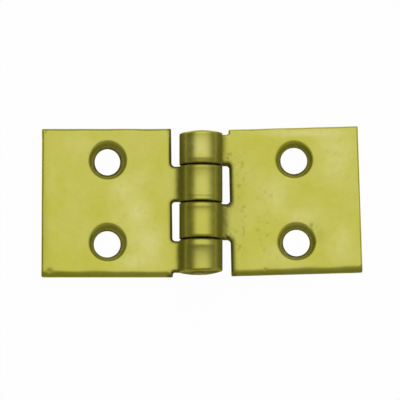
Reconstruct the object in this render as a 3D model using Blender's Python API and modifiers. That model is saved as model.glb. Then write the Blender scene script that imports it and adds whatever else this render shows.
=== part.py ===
"""Small brass flap hinge: two leaves of rolled sheet turning on one pin.

Units are metres. X runs across the leaves, Y along the pin, and Z up from the
plane that both leaf backs lie on. The pin's centre line stands over X = 0.

Each leaf is made as the real one is. A flat blank is cut with a tongue for
every knuckle, its rims are softened, the tongues are rolled round the pin,
and the screw holes are countersunk.
"""

import math

import bmesh
import bpy

# Driving dimensions
LEAF_LENGTH = 0.0254          # left leaf, along the pin
RIGHT_LENGTH_SHORTFALL = 0.00035
LEAF_REACH = 0.02715          # pin's centre line to a leaf's free edge
SHEET_THICKNESS = 0.00203
PIN_DIAMETER = 0.003175
PIN_CLEARANCE = 0.00005       # radial, pin to rolled bore
KNUCKLE_COUNT = 4
KNUCKLE_GAP = 0.0002          # between neighbouring knuckles
BARREL_END_TRIM = 0.00047     # the barrel's ends are ground back from the leaf's ends
BARREL_OFFSET = -0.00013      # the barrel sits a little low on the left leaf
SEAM_GAP = 0.00008            # rolled edge to the leaf's face
LEFT_NOTCH_CLEARANCE = 0.00126   # barrel to the bottom of a notch
RIGHT_NOTCH_CLEARANCE = 0.001
NOTCH_FILLET = 0.0008
LEFT_NECK_RELIEF = 0.00028    # a tongue's neck is this much narrower, each side
RIGHT_NECK_RELIEF = 0.00013
RIGHT_LEAN = math.radians(1.6)   # the right leaf's outline is cut out of square
HOLE_DIAMETER = 0.00456
HOLE_END_MARGIN = 0.00565     # hole centre to the left leaf's end
COUNTERSINK_DIAMETER = 0.0064
COUNTERSINK_DEPTH = 0.0017
COUNTERSINK_LIP = 0.00016     # softened edge of a countersink
FRONT_EDGE_ROUND = 0.00045    # rim of the leaf's front face
BACK_EDGE_ROUND = 0.0003      # rim of its back, which is the outside of the barrel
PIN_EDGE_ROUND = 0.00015
PIN_END_CROWN = 0.0001

# Worked out from them
BORE_RADIUS = PIN_DIAMETER / 2 + PIN_CLEARANCE
BARREL_RADIUS = BORE_RADIUS + SHEET_THICKNESS
MID_RADIUS = BORE_RADIUS + SHEET_THICKNESS / 2
KNUCKLE_PITCH = LEAF_LENGTH / KNUCKLE_COUNT
HOLE_SPACING = LEAF_LENGTH - 2 * HOLE_END_MARGIN
FLARE_END = BARREL_RADIUS / 2

# The rolled edge stops just above the leaf's face, under the barrel's side
ROLL_ANGLE = 2 * math.pi - math.acos((BARREL_RADIUS - SHEET_THICKNESS - SEAM_GAP) / BARREL_RADIUS)
ROLL_LENGTH = ROLL_ANGLE * MID_RADIUS

# Fineness of the faceted model
ROLL_STEPS = 40
ROUND_STEPS = 48
FILLET_STEPS = 6
EDGE_STEPS = 2
CUTTER_MARGIN = 0.001
WELD = 0.000001

BRASS = {"name": "yellow_brass", "colour": (0.56, 0.53, 0.14, 1.0), "roughness": 0.32}
PIN_BRASS = {"name": "pin_brass", "colour": (0.50, 0.46, 0.13, 1.0), "roughness": 0.38}


def clear_scene():
    for item in list(bpy.data.objects):
        bpy.data.objects.remove(item, do_unlink=True)


def collection(name):
    made = bpy.data.collections.new(name)
    bpy.context.scene.collection.children.link(made)
    return made


def metal(finish):
    material = bpy.data.materials.new(finish["name"])
    material.use_nodes = True
    shader = material.node_tree.nodes["Principled BSDF"]
    shader.inputs["Base Color"].default_value = finish["colour"]
    shader.inputs["Roughness"].default_value = finish["roughness"]
    shader.inputs["Metallic"].default_value = 1.0
    material.diffuse_color = finish["colour"]
    return material


def knuckle_span(index):
    """Low and high end of a knuckle along Y; knuckle 0 is at the top."""
    top = BARREL_OFFSET + KNUCKLE_PITCH * (KNUCKLE_COUNT / 2 - index)
    bottom = top - KNUCKLE_PITCH
    high = top - (BARREL_END_TRIM if index == 0 else KNUCKLE_GAP / 2)
    low = bottom + (BARREL_END_TRIM if index == KNUCKLE_COUNT - 1 else KNUCKLE_GAP / 2)
    return low, high


def filleted(corners):
    """Outline points from (x, y, radius) corners, each radius made an arc.

    Beside a short wall the arc is smaller, and leaves room for the rim's rounding.
    """
    points = []
    for i, (x, y, radius) in enumerate(corners):
        if radius == 0:
            points.append((x, y))
            continue
        x0, y0, _ = corners[i - 1]
        x1, y1, _ = corners[(i + 1) % len(corners)]
        towards_last = math.atan2(y0 - y, x0 - x)
        towards_next = math.atan2(y1 - y, x1 - x)
        turn = (towards_next - towards_last + math.pi) % (2 * math.pi) - math.pi
        half = abs(turn) / 2
        shorter = min(math.hypot(x0 - x, y0 - y), math.hypot(x1 - x, y1 - y))
        room = max(shorter - FRONT_EDGE_ROUND, shorter / 4)
        setback = min(radius / math.tan(half), room)
        fitted = setback * math.tan(half)
        middle = towards_last + turn / 2
        centre_x = x + math.cos(middle) * fitted / math.sin(half)
        centre_y = y + math.sin(middle) * fitted / math.sin(half)
        sweep = math.copysign(math.pi - abs(turn), -turn)
        first = middle + math.pi - sweep / 2
        for step in range(FILLET_STEPS + 1):
            angle = first + sweep * step / FILLET_STEPS
            points.append((centre_x + fitted * math.cos(angle), centre_y + fitted * math.sin(angle)))
    return points


def blank_outline(length, centre, notch_clearance, relief, lean, knuckles):
    """Outline of a leaf's flat blank, with its tongues unrolled.

    Here x runs from the free edge, at -LEAF_REACH, through 0 under the pin,
    to ROLL_LENGTH at the tongues' ends. Only the plate leans: the tongues
    stay square to the pin.
    """
    notch = BARREL_RADIUS + notch_clearance

    def leaning(x, y):
        turned_x = x * math.cos(lean) + y * math.sin(lean)
        turned_y = y * math.cos(lean) - x * math.sin(lean)
        return turned_x, turned_y + centre

    def notch_line(y):
        """x of the leaning line that the notches' bottoms share."""
        return (y - centre) * math.tan(lean) - notch / math.cos(lean)

    half = length / 2
    corners = [(*leaning(-LEAF_REACH, -half), 0), (*leaning(-notch, -half), 0)]
    for index in sorted(knuckles, reverse=True):
        low, high = knuckle_span(index)
        neck_low = low + relief
        neck_high = high - relief
        corners += [
            (notch_line(neck_low), neck_low, NOTCH_FILLET),
            (-BARREL_RADIUS, neck_low, 0),
            (-FLARE_END, low, 0),
            (ROLL_LENGTH, low, 0),
            (ROLL_LENGTH, high, 0),
            (-FLARE_END, high, 0),
            (-BARREL_RADIUS, neck_high, 0),
            (notch_line(neck_high), neck_high, NOTCH_FILLET),
        ]
    corners += [(*leaning(-notch, half), 0), (*leaning(-LEAF_REACH, half), 0)]
    return filleted(corners)


def cut_blank(name, outline):
    """Flat blank as a mesh: the filled outline, as thick as the sheet, its back at Z = 0."""
    curve = bpy.data.curves.new(name, "CURVE")
    curve.dimensions = "2D"
    curve.fill_mode = "BOTH"
    curve.extrude = SHEET_THICKNESS / 2
    spline = curve.splines.new("POLY")
    spline.points.add(len(outline) - 1)
    for point, (x, y) in zip(spline.points, outline):
        point.co = (x, y, 0, 1)
    spline.use_cyclic_u = True

    flat = bpy.data.objects.new(name + "_outline", curve)
    bpy.context.scene.collection.objects.link(flat)
    bpy.context.view_layer.update()
    mesh = bpy.data.meshes.new_from_object(flat.evaluated_get(bpy.context.evaluated_depsgraph_get()))
    bpy.data.objects.remove(flat, do_unlink=True)

    blank = bmesh.new()
    blank.from_mesh(mesh)
    bpy.data.meshes.remove(mesh)
    bmesh.ops.translate(blank, verts=blank.verts, vec=(0, 0, SHEET_THICKNESS / 2))
    bmesh.ops.remove_doubles(blank, verts=blank.verts, dist=WELD)
    blank.normal_update()
    bmesh.ops.dissolve_limit(
        blank, angle_limit=math.radians(0.5), verts=[],
        edges=[edge for edge in blank.edges if is_level(edge) and not is_rim(edge)],
    )
    bmesh.ops.recalc_face_normals(blank, faces=blank.faces)
    return blank


def is_level(edge):
    first, second = edge.verts
    return abs(first.co.z - second.co.z) < WELD


def is_rim(edge):
    """True between a leaf's flat face and its cut side."""
    return any(abs(face.normal.z) < 0.5 for face in edge.link_faces)


def soften(blank, edges, width):
    bmesh.ops.bevel(
        blank, geom=edges, offset=width, offset_type="OFFSET", segments=EDGE_STEPS,
        profile=0.5, affect="EDGES", clamp_overlap=False,
    )


def score(blank, x):
    """A row of edges straight across the blank, where it will bend."""
    bmesh.ops.bisect_plane(
        blank, geom=blank.verts[:] + blank.edges[:] + blank.faces[:], dist=WELD / 10,
        plane_co=(x, 0, 0), plane_no=(1, 0, 0),
    )


def soften_rims(blank):
    """Round the whole back rim, and the front rim as far as the first bend.

    Past that bend the front rim is the mouth of the bore, which stays sharp.
    """
    score(blank, 0)
    front = [
        edge for edge in blank.edges
        if is_level(edge) and is_rim(edge)
        and all(v.co.z > SHEET_THICKNESS - WELD and v.co.x < WELD for v in edge.verts)
    ]
    soften(blank, front, FRONT_EDGE_ROUND)
    back = [
        edge for edge in blank.edges
        if is_level(edge) and is_rim(edge) and all(v.co.z < WELD for v in edge.verts)
    ]
    soften(blank, back, BACK_EDGE_ROUND)


def roll_tongues(blank):
    """Bend the blank round the pin from x = 0 on, keeping its length at mid-thickness."""
    for step in range(1, ROLL_STEPS):
        score(blank, ROLL_LENGTH * step / ROLL_STEPS)
    for vertex in blank.verts:
        if vertex.co.x > 0:
            angle = vertex.co.x / MID_RADIUS
            radius = BARREL_RADIUS - vertex.co.z
            vertex.co.x = radius * math.sin(angle)
            vertex.co.z = BARREL_RADIUS - radius * math.cos(angle)


def turned(name, profile, place, steps):
    """Solid of revolution about local Z, from (radius, height) points, top to bottom."""
    mesh = bpy.data.meshes.new(name)
    points = [(radius, 0, height) for radius, height in profile]
    mesh.from_pydata(points, [(i, i + 1) for i in range(len(points) - 1)], [])
    made = bpy.data.objects.new(name, mesh)
    place.objects.link(made)
    screw = made.modifiers.new("turn", "SCREW")
    screw.axis = "Z"
    screw.steps = steps
    screw.render_steps = steps
    screw.use_merge_vertices = True
    screw.merge_threshold = WELD
    return made


def countersink_cutter(name, x, y, cutters):
    """Straight hole, cone and softened lip, taken out of the plate in one cut."""
    hole = HOLE_DIAMETER / 2
    rim = COUNTERSINK_DIAMETER / 2
    cone_foot = SHEET_THICKNESS - COUNTERSINK_DEPTH
    top = SHEET_THICKNESS + CUTTER_MARGIN
    lip_drop = COUNTERSINK_LIP / 2
    lip_rise = COUNTERSINK_LIP / 3
    profile = [
        (0, top),
        (rim + 2 * COUNTERSINK_LIP, top),
        (rim + 2 * COUNTERSINK_LIP, SHEET_THICKNESS + lip_rise),
        (rim, SHEET_THICKNESS - lip_drop),
        (hole, cone_foot),
        (hole, -CUTTER_MARGIN),
        (0, -CUTTER_MARGIN),
    ]
    cutter = turned(name, profile, cutters, ROUND_STEPS)
    cutter.location = (x, y, 0)
    cutter.hide_render = True
    cutter.display_type = "WIRE"
    return cutter


def leaf(name, side, length, centre, notch_clearance, relief, lean, knuckles, material, parts, cutters):
    """One leaf; side is -1 for the left leaf and 1 for the right, which turns on the pin."""
    blank = cut_blank(name, blank_outline(length, centre, notch_clearance, relief, lean, knuckles))
    soften_rims(blank)
    roll_tongues(blank)
    if side > 0:
        bmesh.ops.scale(blank, vec=(-1, 1, 1), verts=blank.verts)
        bmesh.ops.reverse_faces(blank, faces=blank.faces)
    bmesh.ops.translate(blank, verts=blank.verts, vec=(0, 0, -BARREL_RADIUS))

    mesh = bpy.data.meshes.new(name)
    blank.to_mesh(mesh)
    blank.free()
    mesh.materials.append(material)
    made = bpy.data.objects.new(name, mesh)
    made.location = (0, 0, BARREL_RADIUS)
    parts.objects.link(made)

    across = (BARREL_RADIUS + notch_clearance + LEAF_REACH) / 2
    for row, along in (("top", HOLE_SPACING / 2), ("bottom", -HOLE_SPACING / 2)):
        x = side * (across * math.cos(lean) - side * along * math.sin(lean))
        y = centre + along * math.cos(lean) + across * math.sin(lean)
        cutter = countersink_cutter(f"{name}_{row}_hole", x, y, cutters)
        cut = made.modifiers.new(f"{row} hole", "BOOLEAN")
        cut.operation = "DIFFERENCE"
        cut.solver = "EXACT"
        cut.object = cutter
    mesh.shade_smooth()
    mesh.set_sharp_from_angle(angle=math.radians(30))
    return made


def hinge_pin(material, parts):
    """Plain pin, flush with the barrel's ends, its own ends slightly crowned."""
    low, _ = knuckle_span(KNUCKLE_COUNT - 1)
    _, high = knuckle_span(0)
    half = (high - low) / 2
    radius = PIN_DIAMETER / 2
    upper = [
        (0, half),
        (radius / 2, half - PIN_END_CROWN / 4),
        (radius - PIN_EDGE_ROUND, half - PIN_END_CROWN),
        (radius, half - PIN_END_CROWN - PIN_EDGE_ROUND),
    ]
    lower = [(r, -h) for r, h in reversed(upper)]
    pin = turned("hinge_pin", upper + lower, parts, ROUND_STEPS)
    pin.data.materials.append(material)
    pin.location = (0, (high + low) / 2, BARREL_RADIUS)
    pin.rotation_euler = (-math.pi / 2, 0, 0)
    return pin


def main():
    clear_scene()
    parts = collection("brass_flap_hinge")
    cutters = collection("cutters")
    brass = metal(BRASS)
    leaf(
        "left_leaf", -1, LEAF_LENGTH, 0.0, LEFT_NOTCH_CLEARANCE, LEFT_NECK_RELIEF,
        0.0, (1, 3), brass, parts, cutters,
    )
    leaf(
        "right_leaf", 1, LEAF_LENGTH - RIGHT_LENGTH_SHORTFALL, BARREL_OFFSET, RIGHT_NOTCH_CLEARANCE,
        RIGHT_NECK_RELIEF, RIGHT_LEAN, (0, 2), brass, parts, cutters,
    )
    hinge_pin(metal(PIN_BRASS), parts)


main()
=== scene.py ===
# %% [markdown]
# # A small brass flap hinge
#
# The hinge is two leaves of brass sheet that turn on one pin. Each leaf was blanked flat with two
# tongues, its edges were softened by tumbling, and the tongues were rolled round the pin as the four
# knuckles of the barrel. The solids from the CAD step hold the sizes and the motion. Here every
# visible surface is worked out again, finely, as the press and the rolling die leave it.

import bpy
import numpy as np
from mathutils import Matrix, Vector
from mathutils.geometry import delaunay_2d_cdt


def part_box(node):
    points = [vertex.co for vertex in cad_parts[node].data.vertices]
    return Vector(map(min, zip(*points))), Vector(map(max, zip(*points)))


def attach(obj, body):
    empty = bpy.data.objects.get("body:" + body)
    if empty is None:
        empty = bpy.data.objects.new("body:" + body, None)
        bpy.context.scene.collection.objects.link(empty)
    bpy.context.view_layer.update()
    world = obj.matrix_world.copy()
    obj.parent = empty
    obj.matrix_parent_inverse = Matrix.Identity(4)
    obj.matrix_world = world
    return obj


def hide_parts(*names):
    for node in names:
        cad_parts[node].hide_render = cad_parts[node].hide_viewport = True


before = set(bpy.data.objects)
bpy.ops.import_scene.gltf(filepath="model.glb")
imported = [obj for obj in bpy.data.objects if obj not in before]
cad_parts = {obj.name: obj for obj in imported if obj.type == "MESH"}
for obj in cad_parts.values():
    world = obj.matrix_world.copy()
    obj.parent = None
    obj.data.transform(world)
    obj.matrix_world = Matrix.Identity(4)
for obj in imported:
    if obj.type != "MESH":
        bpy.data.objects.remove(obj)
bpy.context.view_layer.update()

# %% [markdown]
# Sizes are read off the frame, so that the fine surfaces lie where the solids are. The barrel's top
# gives its radius, the left leaf's free edge gives a leaf's reach, and the pin gives the bore. The
# sheet's thickness is what is left between the bore and the outside of the barrel. Only the sizes
# that a box can't give, such as the notches and the lean of the right leaf, are written as numbers.

# %% Sizes, in metres
MM = 0.001
left_low, left_high = (np.array(corner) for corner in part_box("left_leaf"))
pin_low, pin_high = (np.array(corner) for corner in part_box("hinge_pin"))

BARREL = float(left_high[2]) / 2
REACH = -float(left_low[0])
LENGTH = float(left_high[1] - left_low[1])
PIN = float(pin_high[0])
BARREL_BOTTOM, BARREL_TOP = float(pin_low[1]), float(pin_high[1])

PIN_CLEARANCE = 0.05 * MM
BORE = PIN + PIN_CLEARANCE
SHEET = BARREL - BORE
MIDDLE = BARREL - SHEET / 2
KNUCKLE_COUNT = 4
KNUCKLE_GAP = 0.2 * MM
END_TRIM = 0.47 * MM
PITCH = LENGTH / KNUCKLE_COUNT
BARREL_OFFSET = (BARREL_BOTTOM + BARREL_TOP) / 2
SEAM_GAP = 0.08 * MM
ROLL_ANGLE = 2 * np.pi - np.arccos((BARREL - SHEET - SEAM_GAP) / BARREL)
ROLL_LENGTH = ROLL_ANGLE * MIDDLE
print(f"barrel radius {BARREL / MM:.3f}, sheet {SHEET / MM:.3f}, tongue {ROLL_LENGTH / MM:.2f} mm")

# %% [markdown]
# What differs between the two leaves is kept in one table for each. The right leaf was cut a little
# short and its outline leans by 1.6 degrees, while its tongues stay square to the pin. Both leaves
# are worked out with their plate towards -X, and the right one is mirrored at the end.

# %% The two leaves
LEAVES = {
    "left_leaf": {
        "side": -1, "length": LENGTH, "centre": 0.0, "lean": 0.0, "knuckles": (3, 1),
        "notch": 1.27 * MM, "spread": 0.013, "top": 0.8 * MM, "bottom": 1.16 * MM, "bend": 0.5,
        "shear_drop": 0.12 * MM,
        # how dark the leaf is made: painted shade with some grime at its upper and lower rims, dirt
        # and painted shade on its cut sides, and how far from the notch it is darker
        "dirt": {"top": 0.4, "bottom": 0.22, "wall": 0.78, "notch": 0.72 * MM},
    },
    "right_leaf": {
        "side": 1, "length": LENGTH - 0.35 * MM, "centre": BARREL_OFFSET, "lean": np.radians(1.6),
        "knuckles": (2, 0),
        "notch": 1.275 * MM, "spread": 0.008, "top": 0.62 * MM, "bottom": 1.38 * MM, "bend": 0.7,
        "shear_drop": 0.035 * MM,
        # the same darkening for the right leaf: painted shade with some grime at the rims, dirt and
        # painted shade on the cut sides
        "dirt": {"top": 0.1, "bottom": 0.42, "wall": 0.88, "notch": 1.35 * MM},
    },
}

# %% [markdown]
# The four knuckles were rolled one by one, so each has its own small differences. All are in
# millimetres, apart from the strengths. "neck" is how much narrower the neck is than the knuckle, at
# its low and its high side. "upper" and "lower" are the radii of the knuckle's ends. "root" is how
# far the darkening reaches out from the barrel, and how strong it is: dirt, with painted shade in the
# corner where the leaf meets the barrel. "ring", "dull" and "reach" place a dull ring under the
# upper end, and "foot" is the dull band above the lower end.

# %% The four knuckles
KNUCKLES = [
    dict(zip(("neck", "upper", "lower", "root", "ring", "dull", "reach", "foot"), row)) for row in (
        ((0.21, 0.46), 0.28, 0.34, (1.05, 0.45), 0.6, 0.24, 1.1, (1.15, 0.52)),
        ((0.385, -0.21), 0.38, 0.32, (1.2, 0.7), 0.7, 0.40, 0.9, (0.3, 0.5)),
        ((0.10, -0.135), 0.40, 0.36, (1.9, 0.58), 0.95, 0.5, 0.45, (0.66, 0.5)),
        ((0.45, -0.03), 0.42, 0.30, (0.85, 0.6), 1.28, 0.6, 1.7, (0.35, 0.4)),
    )
]
JOINT_DROP = (0.15, 0.165, 0.06)   # mm that the joints, from the top, lie below their even places
JOINTS = [
    BARREL_OFFSET + PITCH * (KNUCKLE_COUNT / 2 - 1 - number) - drop * MM
    for number, drop in enumerate(JOINT_DROP)
]


def knuckle_span(index):
    """Low and high end along the pin: half a gap from each joint, or the barrel's trimmed end."""
    reach = PITCH * KNUCKLE_COUNT / 2 - END_TRIM
    high = JOINTS[index - 1] - KNUCKLE_GAP / 2 if index > 0 else BARREL_OFFSET + reach
    low = JOINTS[index] + KNUCKLE_GAP / 2 if index < len(JOINTS) else BARREL_OFFSET - reach
    return low, high


for number in range(KNUCKLE_COUNT):
    print("knuckle", number + 1, [round(end / MM, 2) for end in knuckle_span(number)])

# %% [markdown]
# The photograph was taken from almost straight above, about six degrees towards the hinge's lower
# edge, through a long lens that hardly shows perspective. A camera is a place, a direction and a
# lens, and the width that the picture takes in at that distance settles the lens.

# %% Camera
VIEW_TARGET = Vector((-0.154 * MM, 0.5 * MM, 1.0 * MM))
VIEW_DISTANCE = 0.6
VIEW_TILT = np.radians(6.4)
VIEW_WIDTH = 68.24 * MM


def added(name, data):
    """An object with this data, put into the scene."""
    made = bpy.data.objects.new(name, data)
    bpy.context.scene.collection.objects.link(made)
    return made


camera_data = bpy.data.cameras.new("view")
camera_data.sensor_width = 36.0
camera_data.lens = camera_data.sensor_width * VIEW_DISTANCE / VIEW_WIDTH
camera_data.clip_start = 0.01
camera_data.clip_end = 10.0
camera = added("view", camera_data)
backwards = Vector((0, -np.sin(VIEW_TILT), np.cos(VIEW_TILT)))
camera.location = VIEW_TARGET + backwards * VIEW_DISTANCE
camera.rotation_euler = (VIEW_TILT, 0, 0)
bpy.context.scene.camera = camera
bpy.context.scene.view_settings.view_transform = "Standard"
print(f"lens {camera_data.lens:.0f} mm")

# %% [markdown]
# Polished metal shows the studio round it. This one is a broad soft panel overhead, which reaches
# far behind the hinge, and dim warm walls, which are brightest in front. The panel is painted into
# the world by direction: two angles from straight up, one across the hinge and one along the pin,
# and each of its edges fades between two angles. Its strength is about 1, so that brass shows its
# own colour under it, and it grows a little towards the back.

# %% Studio
PANEL_STRENGTH = 1.08
PANEL_ACROSS = (-51, -18, 24, 74)    # degrees from straight up towards +X: fades in, fades out
PANEL_ALONG = (-38, -18, 62, 88)     # the same towards +Y
PANEL_BACK = (10, 60, 1.0, 1.12)     # degrees towards +Y between which the panel grows, from and to
WALL_STRENGTH = (0.22, 0.29)         # towards -X and towards +X
WALL_FRONT = (-45, -18, 1.45, 1.0)   # the same four numbers as the panel's back, for the walls
WALL_TINT = (1.0, 0.97, 0.58, 1.0)
WHITE = (1.0, 1.0, 1.0, 1.0)


def fill(tree, node, inputs):
    """Fill a node's inputs: another node's output is linked, and a number or a colour is set."""
    for name, value in inputs.items():
        if isinstance(value, bpy.types.NodeSocket):
            tree.links.new(value, node.inputs[name])
        else:
            node.inputs[name].default_value = value


def place(tree, kind, x, y, inputs=None, **settings):
    """A node of this kind at this spot of the node editor, with these settings and inputs."""
    made = tree.nodes.new(kind)
    made.location = (x, y)
    for name, value in settings.items():
        setattr(made, name, value)
    fill(tree, made, inputs or {})
    return made


def fade(tree, source, start, end, x, y, low=0.0, high=1.0):
    """Smooth step: low while the source is under start, high past end."""
    ends = {"Value": source, "From Min": start, "From Max": end, "To Min": low, "To Max": high}
    step = place(tree, "ShaderNodeMapRange", x, y, ends, interpolation_type="SMOOTHSTEP")
    return step.outputs["Result"]


def math(tree, operation, first, second, x, y):
    """One sum of two outputs or numbers."""
    made = place(tree, "ShaderNodeMath", x, y, {0: first, 1: second}, operation=operation)
    return made.outputs["Value"]


def show(tree, share, first, second, kind):
    """Second over first by this share, led to an output of this kind."""
    shaders = {0: share, 1: first.outputs[0], 2: second.outputs[0]}
    mixed = place(tree, "ShaderNodeMixShader", 200, 0, shaders)
    place(tree, kind, 400, 0, {0: mixed.outputs[0]})


world = bpy.data.worlds.new("studio")
world.use_nodes = True
bpy.context.scene.world = world
sky = world.node_tree
sky.nodes.clear()
direction = place(sky, "ShaderNodeTexCoord", -1200, 0)
split = place(sky, "ShaderNodeSeparateXYZ", -1000, 0, {0: direction.outputs["Generated"]})
shares = []
for height, axis, limits in ((-300, "X", PANEL_ACROSS), (300, "Y", PANEL_ALONG)):
    angle = math(sky, "ARCTAN2", split.outputs[axis], split.outputs["Z"], -800, height)
    dark, full, still, out = (float(limit) for limit in np.radians(limits))
    shares.append(fade(sky, angle, dark, full, -600, height))
    shares.append(fade(sky, angle, still, out, -600, height - 200, 1.0, 0.0))
    if axis == "X":
        dim = fade(sky, angle, dark, out, -600, height - 400, *WALL_STRENGTH)
panel = math(sky, "MULTIPLY", math(sky, "MULTIPLY", shares[0], shares[1], -400, -300),
             math(sky, "MULTIPLY", shares[2], shares[3], -400, 300), -200, 0)
back, front = (
    fade(sky, angle, *np.radians(limits[:2]), -400, height, *limits[2:])
    for height, limits in ((600, PANEL_BACK), (900, WALL_FRONT))
)
strength = math(sky, "MULTIPLY", back, PANEL_STRENGTH, -200, 600)
dim = math(sky, "MULTIPLY", dim, front, -200, 900)
walls = place(sky, "ShaderNodeBackground", 0, -200, {"Color": WALL_TINT, "Strength": dim})
glow = place(sky, "ShaderNodeBackground", 0, 200, {"Color": WHITE, "Strength": strength})
show(sky, panel, walls, glow, "ShaderNodeOutputWorld")
print("studio with", len(sky.nodes), "nodes")

# %% [markdown]
# The hinge lies on a white table. The photograph's ground is pure white, so most of the table's
# brightness is given to it directly, for the camera and for mirrored rays alike. The rest is plain
# diffuse white, which keeps a faint shadow of the hinge.

# %% Table
TABLE_SIZE = 1.5
TABLE_DROP = 0.02 * MM
TABLE_GLOW = 0.97

ground = bpy.data.materials.new("white_table")
ground.use_nodes = True
tree = ground.node_tree
tree.nodes.clear()
rays = place(tree, "ShaderNodeLightPath", -600, 200)
seen = math(tree, "MAXIMUM", rays.outputs["Is Camera Ray"], rays.outputs["Is Glossy Ray"], -400, 200)
seen = math(tree, "MAXIMUM", seen, rays.outputs["Is Transmission Ray"], -200, 200)
share = math(tree, "MULTIPLY", seen, TABLE_GLOW, 0, 200)
matt = place(tree, "ShaderNodeBsdfDiffuse", 0, 0, {"Color": (0.9, 0.9, 0.9, 1.0)})
white = place(tree, "ShaderNodeEmission", 0, -150, {"Color": WHITE})
show(tree, share, matt, white, "ShaderNodeOutputMaterial")

ends = (-TABLE_SIZE, TABLE_SIZE)
table_mesh = bpy.data.meshes.new("table")
table_mesh.from_pydata([(x, y, -TABLE_DROP) for y in ends for x in ends], [], [(0, 1, 3, 2)])
table_mesh.materials.append(ground)
added("table", table_mesh)

# %% [markdown]
# A leaf starts as a flat blank, and its outline is a list of corners with a radius each. The blank's
# own coordinates run from the free edge, at -REACH, through 0 under the pin, to the tongues' ends.
# A corner is rounded by the arc that touches both of its sides: the arc's centre lies on the line
# that halves the corner, its radius over the sine of half the corner away.

# %% Outline of a blank
CORNER_STEPS = 8
PLATE_CORNER = 0.22 * MM
TIP_CORNER = 0.18 * MM
NOTCH_CORNER = 0.8 * MM
NECK_BEND = 2.0 * MM
SIDE_SHARE = 0.45             # the most of a side that one corner's arc may take
FLARE_END = BARREL / 2


def rounded_corners(corners):
    """Closed loop of points from rows of x, y and radius.

    With b the unit vector that halves a corner and w the one across it, an arc of radius r about the
    centre c runs through c - r (cos(a) b + sin(a) w), as a goes from plus to minus a quarter turn
    less half the corner. A side that is too short for its arcs makes them smaller.
    """
    here, radius = corners[:, :2], corners[:, 2]
    back = np.roll(here, 1, axis=0) - here
    on = np.roll(here, -1, axis=0) - here
    back_length, on_length = np.linalg.norm(back, axis=1), np.linalg.norm(on, axis=1)
    back, on = back / back_length[:, None], on / on_length[:, None]
    half = np.arccos(np.clip((back * on).sum(axis=1), -1, 1)) / 2
    radius = np.minimum(radius, SIDE_SHARE * np.minimum(back_length, on_length) * np.tan(half))
    b = (back + on) / np.linalg.norm(back + on, axis=1, keepdims=True)
    w = (on - back) / np.linalg.norm(on - back, axis=1, keepdims=True)
    centre = here + b * (radius / np.sin(half))[:, None]
    turn = np.linspace(1, -1, CORNER_STEPS + 1)[None, :, None] * (np.pi / 2 - half)[:, None, None]
    arc = np.cos(turn) * b[:, None] + np.sin(turn) * w[:, None]
    return (centre[:, None] - radius[:, None, None] * arc).reshape(-1, 2)


def blank_outline(leaf):
    """The blank's outline, anticlockwise: plate, then each tongue with its neck and notches."""
    lean, centre = leaf["lean"], leaf["centre"]
    notch = BARREL + leaf["notch"]
    half = leaf["length"] / 2

    def leaning(x, y):
        return x * np.cos(lean) + y * np.sin(lean), y * np.cos(lean) - x * np.sin(lean) + centre

    def notch_line(y):
        return (y - centre) * (np.tan(lean) - leaf["spread"]) - notch / np.cos(lean)

    ends = [leaning(-notch, sign * half)[1] for sign in (-1, 1)]
    corners = [(*leaning(-REACH, -half), PLATE_CORNER), (notch_line(ends[0]), ends[0], PLATE_CORNER)]
    for index in leaf["knuckles"]:
        low, high = knuckle_span(index)
        narrower = np.array(KNUCKLES[index]["neck"]) * MM
        for end, neck, order in ((low, low + narrower[0], 1), (high, high - narrower[1], -1)):
            corners += [
                (notch_line(neck), neck, NOTCH_CORNER), (-BARREL, neck, NECK_BEND),
                (-FLARE_END, end, NECK_BEND), (ROLL_LENGTH, end, TIP_CORNER),
            ][::order]
    corners += [(notch_line(ends[1]), ends[1], PLATE_CORNER), (*leaning(-REACH, half), PLATE_CORNER)]
    return rounded_corners(np.array(corners))


for name, leaf in LEAVES.items():
    leaf["outline"] = blank_outline(leaf)
    size = np.ptp(leaf["outline"], axis=0) / MM
    print(name, "blank", np.round(size, 2), "mm,", len(leaf["outline"]), "outline points")

# %% [markdown]
# The screw holes are round, and their countersinks were cut afterwards by hand on a drill press, so
# each sits a little off its hole. A countersink is a cone. Its height at any point is the sheet's
# height less the distance inside the rim times the cone's slope, and a soft minimum with the flat
# face wears its lip round.

# %% Screw holes
HOLE = 2.28 * MM
HOLE_ALONG = 7.05 * MM
SINK_DEPTH = 1.7 * MM
SINK_WIDTH = 0.95 * MM        # from the hole's edge out to the rim, level
LIP = 0.98 * MM
LIP_LEAN = 0.35               # how much softer the lip is on the side towards +Y
HOLES = {   # 1 or -1 for upper or lower, width over height, the countersink's shift and radii in mm
    "left_leaf": ((1, 0.955, 0.06, 0.04, 2.98, 3.10), (-1, 1.0, 0.10, 0.07, 2.96, 3.03)),
    "right_leaf": ((1, 1.0, 0.0, -0.07, 2.92, 2.96), (-1, 1.0, 0.025, -0.02, 3.0, 3.01)),
}
HOLE_SHIFT = {"left_leaf": (0.055, 0.0), "right_leaf": (-0.04, -0.10)}     # mm, both holes alike

for name, leaf in LEAVES.items():
    leaf["holes"] = []
    across = (BARREL + leaf["notch"] + REACH) / 2
    cosine, sine = np.cos(leaf["lean"]), np.sin(leaf["lean"])
    for row, wide, *rim in HOLES[name]:
        along = row * HOLE_ALONG
        at = np.array((
            leaf["side"] * along * sine - across * cosine,
            leaf["centre"] + along * cosine + across * sine,
        )) + np.array(HOLE_SHIFT[name]) * MM
        off, sink = np.reshape(rim, (2, 2)) * MM
        leaf["holes"].append({"at": at, "wide": wide, "off": off, "sink": sink})
        print(name, "hole at", np.round(at / MM, 2))

# %% [markdown]
# A blank's face isn't a regular grid, because of its outline and holes. So the points are laid as a
# maker would mark them: rows that follow the edge, closer together where the edge rounds over,
# rings round each hole, and an even field between. One triangulation that keeps the edges joins
# them all. The shape itself stays a plain function: height over the blank's x and y.

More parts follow.
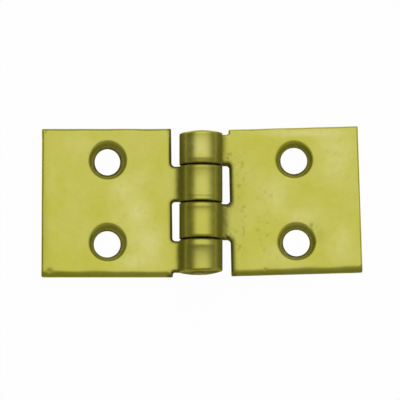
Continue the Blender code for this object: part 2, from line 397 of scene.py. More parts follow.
# %% Points on the blank
RIM_STEPS = 6
EDGE_STEP = 0.2 * MM
RING_POINTS = 96
WALL_ROWS = 4
CHUNK = 3000


def smooth(start, end, value):
    """Smooth step from 0 at start to 1 at end: 3s^2 - 2s^3, with s held between 0 and 1."""
    s = np.clip((value - start) / (end - start), 0, 1)
    return s * s * (3 - 2 * s)


def spaced(loop, step):
    """The loop with each side cut into equal parts no longer than a step."""
    side = np.roll(loop, -1, axis=0) - loop
    parts = np.maximum(1, np.ceil(np.linalg.norm(side, axis=1) / step)).astype(int)
    which = np.repeat(np.arange(len(loop)), parts)
    share = (np.arange(parts.sum()) - np.repeat(np.cumsum(parts) - parts, parts)) / parts[which]
    return loop[which] + side[which] * share[:, None]


def inward(loop):
    """Unit vectors a quarter turn left of the loop's run: inwards, on an anticlockwise loop."""
    run = np.roll(loop, -1, axis=0) - np.roll(loop, 1, axis=0)
    left = np.column_stack((-run[:, 1], run[:, 0]))
    return left / np.linalg.norm(left, axis=1, keepdims=True)


def edge_distance(points, loop):
    """Distance to the nearest side, and whether a ray towards +X crosses the loop an odd number of
    times, which it does from inside. The nearest place on a side is a share of it from 0 to 1."""
    side = np.roll(loop, -1, axis=0) - loop
    length = (side * side).sum(axis=1)
    near, within = [], []
    for some in np.array_split(points, len(points) // CHUNK + 1):
        gap = some[:, None] - loop
        share = np.clip((gap * side).sum(axis=2) / length, 0, 1)
        near.append(np.sqrt(((gap - share[..., None] * side) ** 2).sum(axis=2).min(axis=1)))
        above = gap[..., 1] < 0
        crosses = above != np.roll(above, -1, axis=1)
        rise = np.where(side[:, 1] == 0, 1.0, side[:, 1])
        met = gap[..., 1] / rise * side[:, 0] > gap[..., 0]
        within.append((crosses & met).sum(axis=1) % 2 == 1)
    return np.concatenate(near), np.concatenate(within)


def field(low, high, step, step_x=None):
    """An even grid of points between two corners."""
    across, along = (
        np.arange(a + s / 2, b, s) for a, b, s in zip(low, high, (step_x or step, step))
    )
    return np.stack(np.meshgrid(across, along), axis=-1).reshape(-1, 2)


def ring(centre, radius, offset=0.0):
    """Points clockwise round a circle, turned by a share of the step between two of them."""
    turn = -2 * np.pi * (np.arange(RING_POINTS) + offset) / RING_POINTS
    return centre + radius * np.column_stack((np.cos(turn), np.sin(turn)))


# %% [markdown]
# Tumbling rounds a rim like a small ball rolled along it. Across the rim the surface falls away as a
# quarter circle: at a distance d inside the edge it lies r - sqrt(r^2 - (r - d)^2) below the face.
# The radius r isn't the same all round: the upper ends of the leaves are worn most, the notches less,
# and the mouth of a bore hardly at all, so r is itself a smooth function of place. A knuckle's ends
# are worn on top and sharper at the barrel's sides. The lower ends of the leaves were dressed with a
# file, which left a worn bevel. Slow sine waves in seeded directions keep it from looking machined.

# %% Rim of the sheet
FREE_ROUND = 0.34 * MM
NOTCH_ROUND = 0.52 * MM
MOUTH_ROUND = 0.10 * MM
PLATE_BACK_ROUND = 0.2 * MM
SEAM_ROUND = 0.12 * MM
BEVEL_SLOPE = 0.577           # the lower ends' bevel, as height over width
BEVEL_EDGE = 0.14 * MM        # the rounding between a lower end's bevel and its side
SHEAR_ROLL = 0.95 * MM        # how far in from the free edge the shears pulled the face down
RIM_WEAR, BARREL_WEAR = 0.1, 0.08     # how uneven the front rims are, and the back ones
NOTCH_NEAR = (1.2 * MM, 0.4 * MM)     # how far from a notch its own rounding starts and is full
END_STOP = (-0.1 * MM, 0.6 * MM)      # the same for a cropped end's rounding
BEVEL_NEAR = (0.6 * MM, 0.3 * MM)     # the same for a lower end's finer edge
SIDE_SHARP = 0.6                      # the share of a knuckle end's radius that the sides lose,
SIDE_TURN = np.radians((55, 80))      # between these turns from the barrel's top


def ripple(points, wavelength, seed, waves=6):
    """Uneven ground between about -1 and 1: the mean of sines that run in seeded directions."""
    draw = np.random.default_rng(seed)
    angle, phase = draw.uniform(0, 2 * np.pi, (2, waves, 1))
    length = wavelength * draw.uniform(0.6, 1.6, (waves, 1))
    run = np.cos(angle) * points[:, 0] + np.sin(angle) * points[:, 1]
    return np.sin(2 * np.pi * run / length + phase).sum(axis=0) / np.sqrt(waves)


def plate_place(points, leaf):
    """Place along the plate's own directions, before it leans: out from the pin, and along it."""
    lean, x, y = leaf["lean"], points[:, 0], points[:, 1] - leaf["centre"]
    return x * np.cos(lean) - y * np.sin(lean), x * np.sin(lean) + y * np.cos(lean)


def front_radii(points, leaf):
    """Radius of the front rim all round, and of the cropped ends' own wider rounding, which stops
    short of the knuckles."""
    u, v = plate_place(points, leaf)
    notch = BARREL + leaf["notch"]
    wear = 1 + RIM_WEAR * ripple(points, 6 * MM, 3)
    near_notch = smooth(*NOTCH_NEAR, -notch - u)
    rim = (FREE_ROUND + (NOTCH_ROUND - FREE_ROUND) * near_notch) * wear
    rim = rim + (MOUTH_ROUND - rim) * smooth(-BARREL, -0.1 * BARREL, points[:, 0])
    lower = smooth(*BEVEL_NEAR, v + leaf["length"] / 2) * (u < -notch)
    rim = rim + (BEVEL_EDGE - rim) * lower
    end = np.where(v > 0, leaf["top"], leaf["bottom"]) * wear
    return rim, end * smooth(*END_STOP, -notch - u)


def near_end(points, leaf):
    """1 close to either cropped end, 0 further in."""
    from_end = leaf["length"] / 2 - abs(plate_place(points, leaf)[1])
    return smooth(1.8 * MM, 0.8 * MM, from_end)


def front_round(points, leaf):
    """The wider of both radii, which says how far in the rim reaches."""
    rim, end = front_radii(points, leaf)
    return np.maximum(rim, end * near_end(points, leaf))


def barrel_turn(x):
    """Turn from the top of the barrel to where this place on a tongue comes to lie."""
    return abs(np.maximum(x, 0) / MIDDLE - np.pi)


def back_round(points, leaf):
    """Radius of the back rim, which on a tongue becomes the outside of the barrel. A knuckle's upper
    and lower end have one each."""
    x, y = points.T
    middles = np.array([knuckle_span(index) for index in leaf["knuckles"]]).mean(axis=1)
    which = abs(y[:, None] - middles).argmin(axis=1)
    middle = middles[which]
    lower, upper = (
        MM * np.array([KNUCKLES[index][end] for index in leaf["knuckles"]])[which]
        for end in ("lower", "upper")
    )
    barrel = lower + (upper - lower) * smooth(middle - 1.5 * MM, middle + 1.5 * MM, y)
    radius = PLATE_BACK_ROUND + (barrel - PLATE_BACK_ROUND) * smooth(-BARREL, -0.3 * BARREL, x)
    radius = radius * (1 + BARREL_WEAR * ripple(points, 5 * MM, 4))
    radius = radius * (1 - SIDE_SHARP * smooth(*SIDE_TURN, barrel_turn(x)) * (x > 0))
    return radius + (SEAM_ROUND - radius) * smooth(ROLL_LENGTH - 0.8 * MM, ROLL_LENGTH - 0.3 * MM, x)


def fall(distance, radius):
    """How far a rounded rim lies below the face, at a distance inside its edge."""
    inside = np.clip(radius - distance, 0, radius)
    return radius - np.sqrt(radius * radius - inside * inside)


def bevel(distance, width, bend):
    """How far a bevel lies below the face. Its upper crease is worn round over a share of its width:
    there the fall grows with the square, and after that by one slope."""
    share = np.clip(1 - distance / np.maximum(width, 0.001 * MM), 0, 1)
    return BEVEL_SLOPE * width * np.where(share < bend, share ** 2 / (2 * bend), share - bend / 2)


def front_fall(points, leaf):
    """The rim's rounding and the end's, together as the two short sides of a right angle give the
    long one. An upper end is rounded and a lower one bevelled."""
    distance, _ = edge_distance(points, leaf["outline"])
    up = plate_place(points, leaf)[1]
    from_end = np.maximum(leaf["length"] / 2 - abs(up), 0)
    rim, end = front_radii(points, leaf)
    by_end = np.where(up > 0, fall(from_end, end), bevel(from_end, end, leaf["bend"]))
    return np.hypot(fall(distance, rim), by_end)


# %% [markdown]
# Knocks and pits are small bowls pressed into the face. Each is a bell curve: its depth times e to
# minus the squared distance over its size. The left leaf has a knock at its lower outer corner and
# two short scratches, and the right leaf a nick in its lower edge. Where the right leaf's tongues
# were bent, the face stayed rough, with many little pits.

# %% Knocks and pits
KNOCKS = {   # place, two sizes and a depth, in mm
    "left_leaf": np.array([
        (-25.8, -11.6, 0.6, 0.4, 0.13),
        (-26.6, 12.1, 0.22, 0.3, 0.07), (-26.7, 10.5, 0.14, 0.25, 0.05),
        (-20.6, -4.45, 0.22, 0.05, 0.035), (-7.7, -3.6, 0.4, 0.07, 0.045),
    ]) * MM,
    "right_leaf": np.array([
        (-10.9, -11.45, 0.3, 0.28, 0.09), (-24.6, 9.1, 0.12, 0.1, 0.03),
        (-12.1, 1.6, 0.07, 0.5, 0.03), (-11.6, 0.6, 0.3, 0.08, 0.02),
    ]) * MM,
}
PIT_PATCHES = {   # low corner and high corner in mm, and how many
    "left_leaf": (),
    "right_leaf": (
        ((-7.6, -9.4), (-4.1, 8.6), 230), ((-20.4, -7.0), (-18.6, -3.6), 26),
        ((-13.2, -9.6), (-9.6, 3.6), 24),
    ),
}
PIT_CROWD = 1.6               # 1 spreads a patch's pits evenly, and more crowds them to the barrel
PIT_SIZE = (0.09, 0.3)        # mm
PIT_DEPTH = (0.04, 0.26)      # as a share of the size
PATCH_STEP = 0.11 * MM


def pits_of(patches, seed):
    """Rows of x, y, size and depth: seeded places, closer to the barrel's side of a patch."""
    draw = np.random.default_rng(seed)
    rows = [np.zeros((0, 5))]
    for *corners, count in patches:
        low, high = np.array(corners) * MM
        share = draw.uniform(0, 1, (count, 2))
        share[:, 0] = 1 - share[:, 0] ** PIT_CROWD
        size = draw.uniform(*PIT_SIZE, count) * MM
        depth = size * draw.uniform(*PIT_DEPTH, count)
        rows.append(np.column_stack((low + share * (high - low), size, size, depth)))
    return np.concatenate(rows)


def sunk(points, bowls):
    """Total depth of the bowls at each point."""
    depth = np.zeros(len(points))
    for part in np.array_split(np.arange(len(points)), len(points) // CHUNK + 1):
        gap = (points[part, None] - bowls[:, :2]) / bowls[:, 2:4]
        depth[part] = (bowls[:, 4] * np.exp(-(gap * gap).sum(axis=2))).sum(axis=1)
    return depth


for seed, (name, leaf) in enumerate(LEAVES.items()):
    leaf["patches"] = PIT_PATCHES[name]
    leaf["bowls"] = np.concatenate((KNOCKS[name], pits_of(PIT_PATCHES[name], 11 + seed)))
    print(name, "has", len(leaf["bowls"]), "knocks and pits")


# %% [markdown]
# Now the heights. The front face lies at the sheet's thickness, less the rim's fall, the bowls and
# a slow unevenness of a few hundredths of a millimetre. Round a hole the cone takes over where it
# is lower. The back lies at nothing, and rises only at its rim.

# %% Heights over the blank
UNEVEN = 0.012 * MM
HOLE_BACK_ROUND = 0.12 * MM


def sink_height(points, hole):
    """Height of the countersink's cone over the blank, without end outside its rim."""
    gap = (points - (hole["at"] + hole["off"])) / hole["sink"]
    inside = (1 - np.hypot(*gap.T)) * np.mean(hole["sink"])
    return SHEET - inside * SINK_DEPTH / SINK_WIDTH


def softer_lower(a, b, width):
    """The lower of two heights, with the crease rounded where they differ by less than the width."""
    share = np.clip(0.5 + 0.5 * (b - a) / width, 0, 1)
    return b + (a - b) * share - width * share * (1 - share)


def front_height(points, leaf):
    """The face less the shears' roll, which is a parabola, and less the bowls and the rim's fall."""
    calm = smooth(-BARREL, -BARREL - 2 * MM, points[:, 0])
    from_free = np.clip(1 - (plate_place(points, leaf)[0] + REACH) / SHEAR_ROLL, 0, 1)
    face = SHEET + UNEVEN * calm * ripple(points, 9 * MM, 7) - sunk(points, leaf["bowls"])
    height = face - leaf["shear_drop"] * from_free ** 2 - front_fall(points, leaf)
    for hole in leaf["holes"]:
        up = np.clip((points[:, 1] - hole["at"][1]) / (HOLE + SINK_WIDTH), -1, 1)
        height = softer_lower(sink_height(points, hole), height, LIP * (1 + LIP_LEAN * up))
    return height


def back_height(points, leaf):
    distance, _ = edge_distance(points, leaf["outline"])
    height = fall(distance, back_round(points, leaf))
    for hole in leaf["holes"]:
        gap = np.linalg.norm(points - hole["at"], axis=1) - HOLE
        height = np.maximum(height, fall(np.maximum(gap, 0), HOLE_BACK_ROUND))
    return height


# %% [markdown]
# The points of one face: its edge, rows inside the edge that follow the quarter circle at equal
# angles, rings through the countersinks, and a field that is closer where there are pits and, on
# the tongues, close enough that the rolled barrel shows no facets.

# %% One face of the blank
PLATE_STEP = 0.4 * MM
TONGUE_STEP_ALONG = 0.2 * MM
TONGUE_STEP_ROUND = MIDDLE * np.radians(3)
ROW_ROOM = 0.09 * MM
ROW_SLIP = 0.985              # the least share of its offset that a row's point is from any side
SINK_RINGS = [(share, HOLE + share * 0.7 * MM) for share in (0.15, 0.35, 0.55)]
SINK_RINGS += [(1.0, radius * MM) for radius in np.arange(2.78, 3.93, 0.08)]
BACK_RINGS = [(0.0, HOLE + share * HOLE_BACK_ROUND) for share in (0.1, 0.3, 0.6, 1.0)]


def face_points(leaf, edge, rim_radius, rings, patches):
    """The edge and the holes first, then every other point that no rim or ring crowds out."""
    outline, normal = leaf["outline"], inward(edge)
    radius = rim_radius(edge, leaf)
    angle = np.radians(90) * np.arange(1, RIM_STEPS + 1) / RIM_STEPS
    rows = []
    for share in 1 - np.cos(angle):
        row = edge + normal * (radius * share)[:, None]
        distance, within = edge_distance(row, outline)
        rows.append(row[within & (distance > radius * share * ROW_SLIP)])
    low, high = outline.min(axis=0), outline.max(axis=0)
    plate = field(low, (-BARREL, high[1]), PLATE_STEP)
    tongue = field((-BARREL, low[1]), high, TONGUE_STEP_ALONG, TONGUE_STEP_ROUND)
    free = np.concatenate((plate, tongue))
    for *corners, _ in patches:
        start, end = np.array(corners) * MM
        taken = ((free > start) & (free < end)).all(axis=1)
        free = np.concatenate((free[~taken], field(start, end, PATCH_STEP)))
    distance, within = edge_distance(free, outline)
    keep = within & (distance > rim_radius(free, leaf) + ROW_ROOM)
    for hole in leaf["holes"]:
        keep &= np.linalg.norm(free - hole["at"], axis=1) > rings[-1][1] + 2 * ROW_ROOM
    holes = [ring(hole["at"], HOLE * np.array((hole["wide"], 1.0))) for hole in leaf["holes"]]
    circles = [
        ring(hole["at"] + hole["off"] * share, size, number / 2)
        for hole in leaf["holes"] for number, (share, size) in enumerate(rings, 1)
    ]
    return np.concatenate([edge, *holes, *rows, *circles, free[keep]])


def joined(points, loops):
    """Triangles over the points, with the loops kept as edges. A row of points runs close inside each
    loop, so a triangle that has all three corners on loops lies in a notch or a hole."""
    edges = np.concatenate([np.column_stack((loop, np.roll(loop, -1))) for loop in loops])
    kept, _, triangles, *_ = delaunay_2d_cdt(points, edges, [], 0, 1e-9, False)
    if len(kept) != len(points):
        raise ValueError(f"{len(points) - len(kept)} points fell together")
    triangles = np.array(triangles)
    return triangles[(triangles > loops[-1][-1]).any(axis=1)]


def blank_of(leaf):
    """The flat blank's points, as x, y and height, and its triangles, all facing outwards."""
    edge = spaced(leaf["outline"], EDGE_STEP)
    front = face_points(leaf, edge, front_round, SINK_RINGS, leaf["patches"])
    back = face_points(leaf, edge, back_round, BACK_RINGS, ())
    sizes = [len(edge)] + [RING_POINTS] * len(leaf["holes"])
    starts = np.cumsum([0] + sizes)
    loops = [np.arange(a, b) for a, b in zip(starts[:-1], starts[1:])]
    rim = front[:starts[-1]]
    top, bottom = front_height(front, leaf), back_height(back, leaf)

    # the wall: rows from the back's edge up to the front's, each between its two neighbours
    first, wall = np.arange(len(rim)), []
    rows = [first + len(front)]
    for row in range(1, WALL_ROWS):
        share = row / WALL_ROWS
        wall.append(np.column_stack((rim, bottom[first] * (1 - share) + top[first] * share)))
        rows.append(first + len(front) + len(back) + (row - 1) * len(rim))
    rows.append(first)

    faces = [joined(front, loops), joined(back, loops)[:, ::-1] + len(front)]
    for lower, upper in zip(rows[:-1], rows[1:]):
        for loop in loops:
            here, there = loop, np.roll(loop, -1)
            a, b, c, d = lower[here], lower[there], upper[there], upper[here]
            faces += [np.column_stack((a, b, c)), np.column_stack((a, c, d))]
    points = np.concatenate([np.column_stack((front, top)), np.column_stack((back, bottom)), *wall])
    kinds = np.repeat((0, 1, 2), (len(front), len(back), len(wall) * len(rim)))
    return points, np.concatenate(faces), kinds


# %% [markdown]
# Dirt gathers where a cloth and the tumbling stones don't reach: in the joints of the barrel, at
# its root, under it, in the countersinks and pits, and on the raw cut sides. The same number also
# paints shade: on the barrel's sides, along the rounded rims, on the cut sides, in the corner at the
# barrel's root, and deeper and lower in the countersinks. The barrel's lower end and the notches are
# made darker too. It is worked out for every point while the blank is still flat, as a number from
# 0 to 1 that the material reads.

# %% Dirt, wear and painted shade
WORN = {   # by the leaf's side: place and two sizes in mm, and a strength
    -1: np.array([
        (-13.6, 2.2, 2.2, 1.9, 0.6), (-10.9, -1.6, 2.2, 2.6, 0.7), (-8.8, -7.0, 2.4, 2.6, 0.7),
        (-11.4, -10.2, 2.8, 1.4, 0.6), (-14.6, -3.0, 1.4, 2.6, 0.25), (-21.5, 10.4, 2.8, 1.5, 0.25),
        (8.3, 2.4, 1.2, 1.6, 0.2), (-10.6, 4.0, 1.6, 1.6, 0.3), (-11.8, -6.2, 1.2, 2.0, 0.3),
        (-25.7, 3.4, 0.9, 2.2, 0.25),
    ]) * MM,
    1: np.array([
        (-12.8, 0.8, 2.4, 3.2, 0.45), (-23.4, 9.6, 3.4, 2.2, 0.5), (-17.5, 11.9, 7.5, 0.6, 0.7),
        (-17.0, -2.6, 3.0, 1.6, 0.35), (-24.0, -6.5, 2.0, 3.4, 0.4), (-12.5, -8.4, 3.0, 1.6, 0.2),
        (7.8, 9.0, 1.6, 2.2, 0.6), (8.2, -3.0, 1.4, 2.4, 0.1), (-22.9, 6.3, 2.6, 2.4, 0.4),
    ]) * MM,
}
FREE_SHADE_AND_GRIME = 0.08      # painted shade with some grime along the free edge's rounded rim
OUTER_DIRT_AND_SHADE = 0.45     # dirt and painted shade on the cut sides of the free edge and of the upper ends
MOUTH_DARKENING = 0.5      # how much darker the barrel is round its lower end
NOTCH_DARKENING = 0.8      # how much darker the face is along the notches
JOINT_DIRT = 0.8      # in the joints of the barrel
JOINT_FADE = 0.25 * MM      # how far from a joint it fades
FLANK_SHADE = 0.6      # painted shade on the barrel's sides, which turn away from the overhead panel
BOWL_DIRT = 0.45      # in the deepest knocks and pits
BACK_DIRT = 0.12      # on the leaves' backs
CONE_DIRT_AND_SHADE = (0.18, 1.1)     # dirt with painted shade in a countersink: on its rim, and how much more at its full depth
CONE_LOWER = 0.22     # how much more painted shade lies on the lower side
SCORED = (1, 0.8, 0.14, 0.36)   # the knuckle with a thin scored ring; its height, width, strength
DULLED = {   # the same for faint dull places
    -1: np.array([(-26.7, -1.0, 0.7, 9.0, 0.07), (-26.2, -9.5, 0.8, 3.0, 0.04),
                  (-26.4, -5.5, 0.5, 3.5, 0.07)]) * MM,
    1: np.array([(-5.9, 0.0, 1.4, 9.0, 0.06), (-20.3, -5.7, 0.7, 1.4, 0.12)]) * MM,
}


def dirt_of(points, kinds, leaf):
    """The darkest of its causes, dirt and painted shade: each is a smooth step or a fading exponential
    of a distance.
    """
    x, y, z = points.T
    flat = points[:, :2]
    distance, _ = edge_distance(flat, leaf["outline"])
    front, back, wall = kinds == 0, kinds == 1, kinds == 2
    tongue = smooth(-BARREL, -0.8 * BARREL, x)
    to_joint = abs(y[:, None] - JOINTS).min(axis=1) - KNUCKLE_GAP / 2

    amount, notch = leaf["dirt"], BARREL + leaf["notch"]
    out, up = plate_place(flat, leaf)
    rim = distance / front_round(flat, leaf)
    end_dirt = np.where(up > 0, amount["top"], amount["bottom"])
    rim_dirt = FREE_SHADE_AND_GRIME + (end_dirt - FREE_SHADE_AND_GRIME) * near_end(flat, leaf)
    by_notch = front * smooth(-notch - 1.4 * MM, -notch - 0.4 * MM, out)
    if leaf["side"] > 0:     # the right leaf's notch edge isn't darkened near its upper end
        by_notch = by_notch * smooth(11.0 * MM, 10.0 * MM, y)
    # the cut sides: dirt on the raw metal, with painted shade
    side = amount["wall"] + 0.04 * tongue
    at_free_edge = smooth(1.4 * MM - REACH, 0.1 * MM - REACH, out)
    outer = np.maximum(at_free_edge, up > leaf["length"] / 2 - 0.3 * MM)
    side = side + (OUTER_DIRT_AND_SHADE - side) * outer
    from_top = barrel_turn(x)
    flank = smooth(*np.radians((37, 52)), from_top)
    top = smooth(*np.radians((58, 22)), from_top)

    causes = [
        # the rounded front rims: painted shade with some grime, most at the upper and lower ends
        np.where(wall, side, smooth(0.7, 0.0, rim) * rim_dirt),
        back * tongue * (y < BARREL_BOTTOM + MM) * smooth(0.42 * MM, 0.1 * MM, distance) * MOUTH_DARKENING,
        by_notch * smooth(amount["notch"], 0.08 * MM, distance) * NOTCH_DARKENING,
        tongue * np.exp(-(np.maximum(to_joint, 0) / JOINT_FADE) ** 2) * JOINT_DIRT,
        # painted shade: the barrel darker on its sides, where it turns away from the light
        back * (x > 0) * flank * FLANK_SHADE,
        front * np.clip(sunk(flat, leaf["bowls"]) / (0.3 * MM), 0, BOWL_DIRT),
        front * sunk(flat, DULLED[leaf["side"]]) / MM,
        back * (1 - tongue) * BACK_DIRT,
    ]
    for hole in leaf["holes"]:
        gap = np.linalg.norm(flat - hole["at"], axis=1) - HOLE
        # a countersink: dirt, and painted shade that grows with depth and on the lower side
        depth = np.clip((SHEET - z) / SHEET, 0, 1)
        lower = 1 - CONE_LOWER * np.clip((y - hole["at"][1]) / (HOLE + SINK_WIDTH), -1, 1)
        cone = (gap < 1.9 * MM) * ~back * smooth(0.0, 0.25, depth)
        causes.append(cone * lower * (CONE_DIRT_AND_SHADE[0] + CONE_DIRT_AND_SHADE[1] * depth))
    for index in leaf["knuckles"]:
        low, high = knuckle_span(index)
        knuckle = KNUCKLES[index]
        reach, strength = knuckle["root"]
        here = abs(y - (low + high) / 2) < (high - low) / 2 + 0.5 * MM
        # dirt with painted shade on the face, in the corner where the leaf meets the barrel
        causes.append(front * here * smooth(-BARREL - reach * MM, -BARREL, x) * strength)
        here = back * tongue * (y > low) * (y < high) * top
        below = (high - y) / MM - knuckle["ring"]
        ring = smooth(-0.45, 0.05, below) * np.exp(-np.maximum(below, 0) / knuckle["reach"])
        causes.append(here * ring * knuckle["dull"])
        reach, strength = knuckle["foot"]
        above = (y - low) / MM
        causes.append(here * smooth(reach, 0.6 * reach, above) * strength)
        if index == SCORED[0]:
            causes.append(here * np.exp(-((above - SCORED[1]) / SCORED[2]) ** 2) * SCORED[3])
    return np.clip(np.max(causes, axis=0), 0, 1)


def worn_of(points, leaf):
    """Where hands and cloths keep the brass pale: a sum of bells, like the bowls."""
    return np.clip(sunk(points[:, :2], WORN[leaf["side"]]) / MM, 0, 1)


# %% [markdown]
# Rolling bends the flat tongue into a knuckle. Past x = 0 the distance along the blank becomes an
# angle round the pin, measured where the sheet neither stretches nor shrinks, at its middle. The
# back of the blank becomes the outside of the barrel. Before that, the barrel's two ends are domed,
# because they were dressed on a stone after assembly: a point's end moves inwards with the square
# of its distance from the pin's centre line.

# %% Domed ends and rolled tongues
END_DOME = 0.55 * MM          # how far the rim of an end lies behind its middle
END_LIFT = {1: -0.03 * MM, -1: 0.20 * MM}     # how far the upper and lower middles stand out
END_REACH = 2.6 * MM          # how far from an end the doming starts
END_SKEW = {1: 0.02, -1: 0.035}               # how much the ends lean, as length over width


def domed(points, leaf):
    x, y, z = points.T
    radius = BARREL - z
    across = -leaf["side"] * radius * np.sin(np.maximum(x, 0) / MIDDLE)
    moved = y.copy()
    for end, sign in ((BARREL_TOP, 1), (BARREL_BOTTOM, -1)):
        share = smooth(sign * end - END_REACH, sign * end, sign * y)
        share = share * smooth(-0.9 * BARREL, -0.1 * BARREL, x)
        move = sign * (END_LIFT[sign] - END_DOME * (radius / BARREL) ** 2) + END_SKEW[sign] * across
        moved += share * move
    return np.column_stack((x, moved, z))


def rolled(points):
    """Angle x / MIDDLE and radius BARREL - z, about a centre line at the height BARREL."""
    x, y, z = points.T
    angle, radius = np.maximum(x, 0) / MIDDLE, BARREL - z
    return np.column_stack((
        np.where(x > 0, radius * np.sin(angle), x), y, BARREL - radius * np.cos(angle),
    ))


# %% [markdown]
# Brass here is yellow with a green cast. Its colour comes from the metal itself, so the shader is
# metallic wherever neither dirt nor painted shade covers it, and the colour tints the reflections.
# On top lie slow clouds of tarnish, fine hairlines, tiny specks, and the dirt with the painted shade.
# A hairline is a contour line of a noise that is stretched along one direction: where the noise
# passes one half, the line is thin and long.

# %% Brass
DEEP_BRASS = (0.505, 0.492, 0.075, 1.0)
BRASS = (0.53, 0.512, 0.108, 1.0)
PALE_BRASS = (0.655, 0.62, 0.235, 1.0)
# the dark tone of dirt, specks and hairlines, which also paints shade
DIRT_AND_SHADE_TONE = (0.028, 0.020, 0.002, 1.0)
TONE = (0.97, 1.03)           # how far the mottling darkens and lightens the brass
PATCHY = (0.88, 1.08)         # and how far it thins and thickens the dirt and the painted shade
SPECKS, HAIRLINES = 0.045, 0.15       # how dark the specks and the hairlines are


def blend_colours(tree, share, first, second, x, y, mode="MIX"):
    """Second over first by this share."""
    inputs = {0: share, 6: first, 7: second}
    return place(tree, "ShaderNodeMix", x, y, inputs, data_type="RGBA", blend_type=mode).outputs[2]


def noise(tree, vector, scale, detail, x, y, roughness=0.5):
    inputs = {"Vector": vector, "Scale": scale, "Detail": detail, "Roughness": roughness}
    return place(tree, "ShaderNodeTexNoise", x, y, inputs).outputs["Fac"]


def hairlines(tree, vector, turn, stretch, width, x, y):
    """1 on thin long lines in one direction, else 0: how near a stretched noise is to one half."""
    inputs = {"Vector": vector, "Rotation": (0.0, 0.0, np.radians(turn)), "Scale": stretch}
    lay = place(tree, "ShaderNodeMapping", x, y, inputs, vector_type="TEXTURE")
    value = noise(tree, lay.outputs["Vector"], 1.0, 2.0, x + 200, y)
    off = math(tree, "SUBTRACT", value, 0.5, x + 400, y)
    off = math(tree, "ABSOLUTE", off, 0.0, x + 550, y)
    return fade(tree, off, 0.0, width, x + 700, y, 1.0, 0.0)


def brass(name, roughness, follows_sheet):
    """Tarnished, scratched brass. The pattern lies on the flat blank's own place, so it runs round
    the barrel with the sheet, or on the object where there is no blank. Its unit is a millimetre."""
    material = bpy.data.materials.new(name)
    material.use_nodes = True
    tree = material.node_tree
    shader = tree.nodes["Principled BSDF"]
    shader.location = (1600, 0)
    tree.nodes["Material Output"].location = (1900, 0)

    if follows_sheet:
        source = place(tree, "ShaderNodeAttribute", -1600, 0, attribute_name="sheet").outputs["Vector"]
    else:
        source = place(tree, "ShaderNodeTexCoord", -1600, 0).outputs["Object"]
    inputs = {0: source, "Scale": 1 / MM}
    scaled = place(tree, "ShaderNodeVectorMath", -1400, 0, inputs, operation="SCALE")
    vector = scaled.outputs["Vector"]

    clouds = fade(tree, noise(tree, vector, 0.16, 3.0, -1000, 500), 0.38, 0.62, -800, 500)
    mottle = noise(tree, vector, 0.9, 5.0, -1000, 300, 0.55)
    specks = fade(tree, noise(tree, vector, 4.0, 3.0, -1000, 100), 0.68, 0.76, -800, 100)
    lines = hairlines(tree, vector, 24, (2.6, 0.12, 1.0), 0.012, -1100, -200)
    more = hairlines(tree, vector, -52, (3.4, 0.16, 1.0), 0.009, -1100, -500)
    lines = math(tree, "MAXIMUM", lines, more, -100, -300)
    worn = fade(tree, noise(tree, vector, 0.5, 2.0, -1000, -750), 0.45, 0.62, -800, -750)
    lines = math(tree, "MULTIPLY", lines, worn, 100, -300)

    colour = blend_colours(tree, clouds, DEEP_BRASS, BRASS, -500, 500)
    pale = place(tree, "ShaderNodeAttribute", -700, 800, attribute_name="worn").outputs["Fac"]
    pale = math(tree, "MULTIPLY", pale, fade(tree, mottle, 0.1, 0.5, -700, 1000), -500, 800)
    colour = blend_colours(tree, pale, colour, PALE_BRASS, -300, 700)
    light = fade(tree, mottle, 0.3, 0.7, -500, 300, *TONE)
    tone = place(tree, "ShaderNodeCombineColor", -300, 300, {0: light, 1: light, 2: light})
    colour = blend_colours(tree, 1.0, colour, tone.outputs["Color"], -100, 500, "MULTIPLY")
    marks = math(tree, "MAXIMUM", math(tree, "MULTIPLY", specks, SPECKS, 200, 200),
                 math(tree, "MULTIPLY", lines, HAIRLINES, 200, 0), 400, 100)
    colour = blend_colours(tree, marks, colour, DIRT_AND_SHADE_TONE, 600, 400)

    # the dirt and painted shade from the blank darken the colour, take away metal and add roughness
    dirt = place(tree, "ShaderNodeAttribute", 200, -600, attribute_name="dirt").outputs["Fac"]
    uneven = fade(tree, mottle, 0.3, 0.7, 200, -800, *PATCHY)
    dirt = math(tree, "MULTIPLY", dirt, uneven, 400, -600)
    dirt = math(tree, "MINIMUM", dirt, 1.0, 600, -600)
    colour = blend_colours(tree, dirt, colour, DIRT_AND_SHADE_TONE, 1100, 400)
    bare = fade(tree, dirt, 0.2, 1.0, 1300, 200, 1.0, 0.3)

    gloss = fade(tree, mottle, 0.25, 0.75, 800, -100, roughness - 0.03, roughness + 0.05)
    gloss = math(tree, "ADD", gloss, math(tree, "MULTIPLY", dirt, 0.25, 800, -300), 1000, -100)

    fine = noise(tree, vector, 7.0, 4.0, 200, -1000, 0.55)
    height = math(tree, "MULTIPLY", fine, 0.35, 400, -1000)
    for marks, depth, x, y in ((lines, 0.5, 600, -1150), (specks, 0.3, 800, -1300)):
        sunken = math(tree, "MULTIPLY", marks, depth, 400, y)
        height = math(tree, "SUBTRACT", height, sunken, x, -1000)
    inputs = {"Strength": 0.4, "Distance": 0.003 * MM, "Height": height}
    bump = place(tree, "ShaderNodeBump", 1200, -600, inputs)
    fill(tree, shader, {
        "Base Color": colour, "Metallic": bare, "Roughness": gloss, "Normal": bump.outputs["Normal"],
        "Specular IOR Level": 0.0, "Specular Tint": (1.0, 0.93, 0.5, 1.0),
    })
    print(name, "has", len(tree.nodes), "nodes")
    return material


leaf_brass = brass("leaf_brass", 0.28, follows_sheet=True)
pin_brass = brass("pin_brass", 0.36, follows_sheet=False)

# %% [markdown]
# A finished piece is a mesh made from the arrays in one go. It rides on the CAD body of the solid
# that it stands for, and that solid isn't shown.

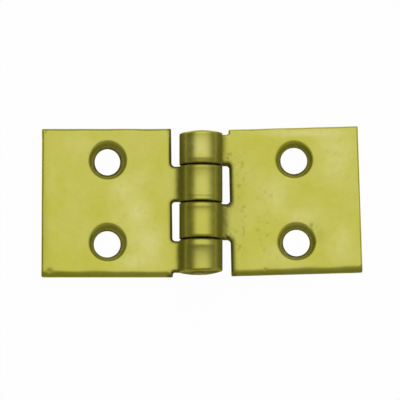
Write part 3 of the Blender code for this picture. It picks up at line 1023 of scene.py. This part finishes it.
# %% Make a piece
def piece(name, points, faces, material, body, node, slot, **attributes):
    mesh = bpy.data.meshes.new(name)
    mesh.from_pydata(points.tolist(), [], faces if isinstance(faces, list) else faces.tolist())
    mesh.polygons.foreach_set("use_smooth", np.ones(len(mesh.polygons), bool))
    for key, values in attributes.items():
        kind, field_name = ("FLOAT", "value") if values.ndim == 1 else ("FLOAT_VECTOR", "vector")
        attribute = mesh.attributes.new(key, kind, "POINT")
        attribute.data.foreach_set(field_name, values.astype(np.float32).ravel())
    mesh.materials.append(material)
    mesh.validate()
    sides = np.empty(len(mesh.loops), np.int32)
    mesh.loops.foreach_get("edge_index", sides)
    open_edges = int((np.bincount(sides) != 2).sum())
    made = added(name, mesh)
    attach(made, body)
    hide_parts(node)
    size = np.ptp(points, axis=0) / MM
    print(f"{name}: {len(points)} points, {len(faces)} faces, {np.round(size, 2)} mm,",
          f"edges without exactly two faces: {open_edges}")


# %% [markdown]
# Both leaves now come out of the same steps: lay the blank, find its dirt and painted shade, dome the
# ends, roll the tongues. The right leaf is turned into its mirror image, and its faces are turned
# round with it so that they still face outwards.

# %% Leaves
PATTERN_SHIFT = 0.2           # metres between the leaves' tarnish, so that the two aren't alike

for name, leaf in LEAVES.items():
    points, faces, kinds = blank_of(leaf)
    dirt = dirt_of(points, kinds, leaf)
    finished = rolled(domed(points, leaf))
    if leaf["side"] > 0:
        finished = finished * (-1, 1, 1)
        faces = faces[:, ::-1]
    piece(
        name + "_sheet", finished, faces, leaf_brass, name.split("_")[0], name, "leaf_brass",
        dirt=dirt, worn=worn_of(points, leaf), sheet=points + (0, PATTERN_SHIFT * leaf["side"], 0),
    )

# %% [markdown]
# The pin is a drawn rod, cut flush and dressed together with the barrel's ends. It is a profile of
# radius and height turned round the pin's centre line: each point of the surface is its radius times
# the cosine and sine of the turn. The two poles are single points, so that the ends are closed.

# %% Pin
PIN_EDGE = 0.14 * MM
PIN_TURNS = 72
PIN_SUNK = 0.03 * MM          # how far the pin's ends lie inside the barrel's
PIN_DARKENING = (0.62, 0.3)        # how much darker the pin is on the lower and the upper half

reach = np.linspace(0, 1, 8)
flat = (PIN - PIN_EDGE) * reach
bend = np.radians(np.linspace(15, 90, 6))
radius = np.concatenate((flat, PIN - PIN_EDGE * (1 - np.sin(bend))))
drop = END_DOME * (radius / BARREL) ** 2
drop[len(flat):] += PIN_EDGE * (1 - np.cos(bend))
upper = np.column_stack((radius, BARREL_TOP + END_LIFT[1] - PIN_SUNK - drop))
lower = np.column_stack((radius, BARREL_BOTTOM - END_LIFT[-1] + PIN_SUNK + drop))[::-1]
middle = np.column_stack((np.full(24, PIN), np.linspace(upper[-1, 1], lower[0, 1], 26)[1:-1]))
profile = np.concatenate((upper, middle, lower))[1:-1]

turn = 2 * np.pi * np.arange(PIN_TURNS) / PIN_TURNS
around = np.stack([
    profile[:, :1] * np.sin(turn),
    np.repeat(profile[:, 1:], PIN_TURNS, axis=1),
    BARREL + profile[:, :1] * np.cos(turn),
], axis=-1).reshape(-1, 3)
poles = np.array(((0, upper[0, 1], BARREL), (0, lower[-1, 1], BARREL)))
index = np.arange(len(profile) * PIN_TURNS).reshape(-1, PIN_TURNS)
after = np.roll(index, -1, axis=1)
quads = np.stack((index[:-1], index[1:], after[1:], after[:-1]), axis=-1).reshape(-1, 4)
first_fan = np.column_stack((np.full(PIN_TURNS, len(around)), index[0], after[0]))
last_fan = np.column_stack((np.full(PIN_TURNS, len(around) + 1), after[-1], index[-1]))
pin_points = np.concatenate((around, poles))
piece(
    "pin_rod", pin_points, quads.tolist() + first_fan.tolist() + last_fan.tolist(), pin_brass,
    "left", "hinge_pin", "pin_brass", dirt=np.where(pin_points[:, 1] < 0, *PIN_DARKENING),
)
